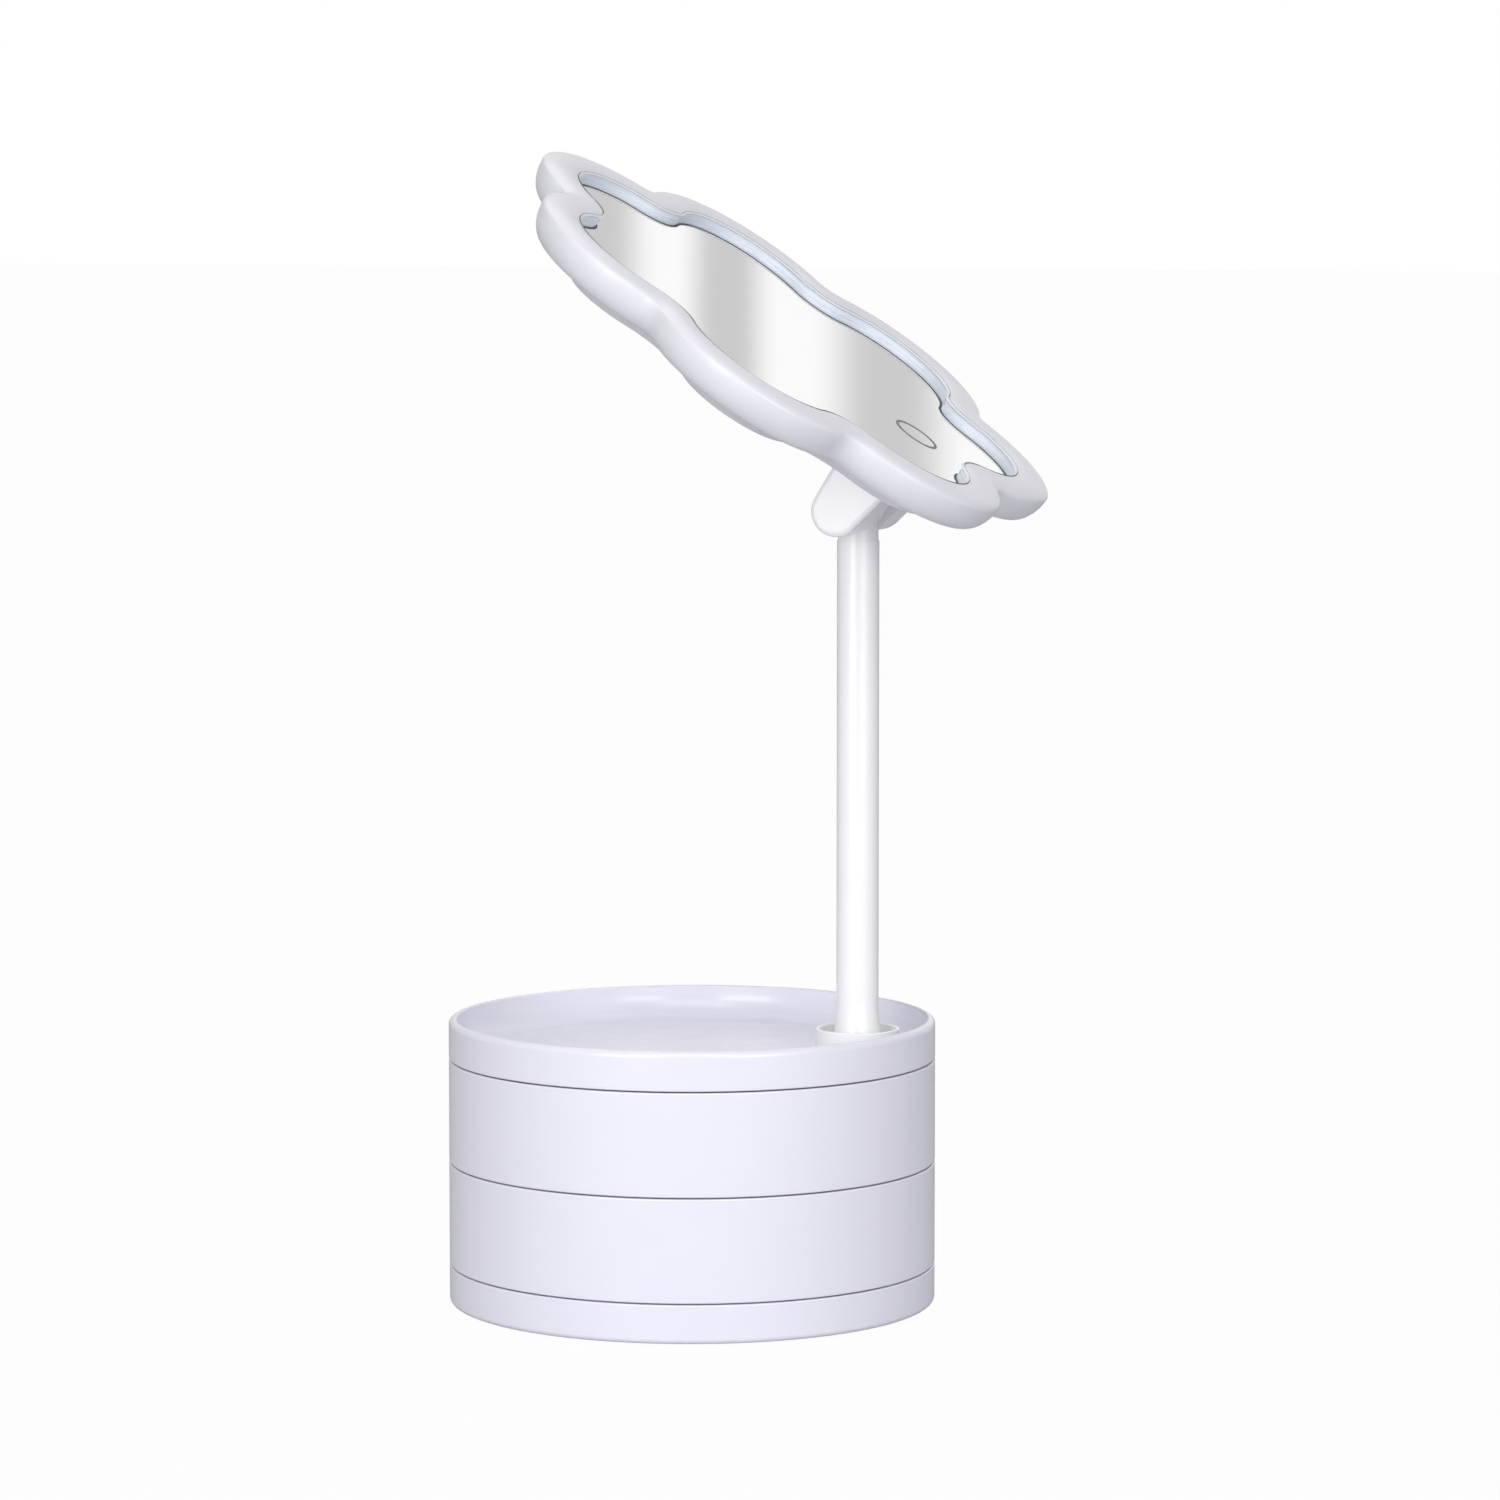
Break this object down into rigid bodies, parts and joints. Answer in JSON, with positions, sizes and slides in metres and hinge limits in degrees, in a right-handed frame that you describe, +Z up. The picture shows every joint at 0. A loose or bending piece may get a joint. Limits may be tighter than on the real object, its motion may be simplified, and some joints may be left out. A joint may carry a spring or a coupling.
{
  "type": "vanity mirror with drawers",
  "caption": "Petal-shaped lit vanity mirror that tilts and turns on a pole, standing on a round base with a dished tray and swing-out drawers.",
  "frame": {"origin": "centre of the base's non-slip pad, on the surface that the mirror stands on", "axes": "+Z up, parallel to the pole; -Y from the base's middle towards the pole and the side that the mirror looks to at rest; X along the tilt axis of the head"},
  "size_m": [0.1998, 0.1918, 0.3783],
  "materials": {
    "base_plastic": "moulded ABS, glossy, cool white with a lavender tint",
    "white_plastic": "moulded ABS, glossy, bright white",
    "silvered_glass": "silvered float glass",
    "light_guide": "milky acrylic light strip",
    "grey_print": "screen printed",
    "plated_steel": "zinc plated",
    "ballast_steel": "rolled plate",
    "slide_plastic": "acetal",
    "foam_pad": "closed-cell foam",
    "inner_plastic": "moulded ABS, matt",
    "circuit": "solder mask",
    "lamp_band": "flexible circuit, white",
    "lamp": "phosphor",
    "cell": "foil pouch",
    "contact": "plated"
  },
  "bodies": {
    "base": {"base_shell": "base_plastic", "base_pad": "foam_pad", "base_cover": "base_plastic", "base_screws": "plated_steel", "ballast_plate": "ballast_steel", "pivot_sleeve": "plated_steel", "sleeve_nut": "plated_steel", "glide_washers": "slide_plastic", "pole_collar": "white_plastic", "thrust_washer": "slide_plastic", "top_tray": "base_plastic"},
    "drawer_lower": {"drawer_lower": "base_plastic", "drawer_lower_bush": "slide_plastic"},
    "drawer_upper": {"drawer_upper": "base_plastic", "drawer_upper_bush": "slide_plastic"},
    "pole": {"pole_tube": "white_plastic", "pole_core": "plated_steel", "pole_washer": "plated_steel", "pole_nut": "plated_steel", "pole_knuckle": "white_plastic"},
    "head": {"front_bezel": "white_plastic", "mirror_glass": "silvered_glass", "touch_mark": "grey_print", "diffuser_ring": "light_guide", "led_band": "lamp_band", "led_chips": "lamp", "glass_carrier": "inner_plastic", "control_board": "circuit", "battery_pack": "cell", "touch_pad": "contact", "usb_socket": "plated_steel", "rear_cover": "white_plastic", "rear_screws": "plated_steel", "hinge_bracket": "white_plastic", "bracket_screws": "plated_steel", "hinge_bolt": "plated_steel", "hinge_nut": "plated_steel", "friction_washers": "slide_plastic", "hinge_cap": "white_plastic"}
  },
  "joints": [
    {"name": "drawer_lower_swing", "type": "hinge", "parent": "base", "child": "drawer_lower", "pos_m": [0, -0.0573, 0.0307], "axis": [0, 0, 1], "continuous": true},
    {"name": "drawer_upper_swing", "type": "hinge", "parent": "base", "child": "drawer_upper", "pos_m": [0, -0.0573, 0.06465], "axis": [0, 0, 1], "continuous": true},
    {"name": "pole_swivel", "type": "hinge", "parent": "base", "child": "pole", "pos_m": [0, -0.0573, 0.0897], "axis": [0, 0, 1], "continuous": true},
    {"name": "head_tilt", "type": "hinge", "parent": "pole", "child": "head", "pos_m": [0, -0.0573, 0.2633], "axis": [-1, 0, 0], "range_deg": [-69.6, 35.4]}
  ]
}
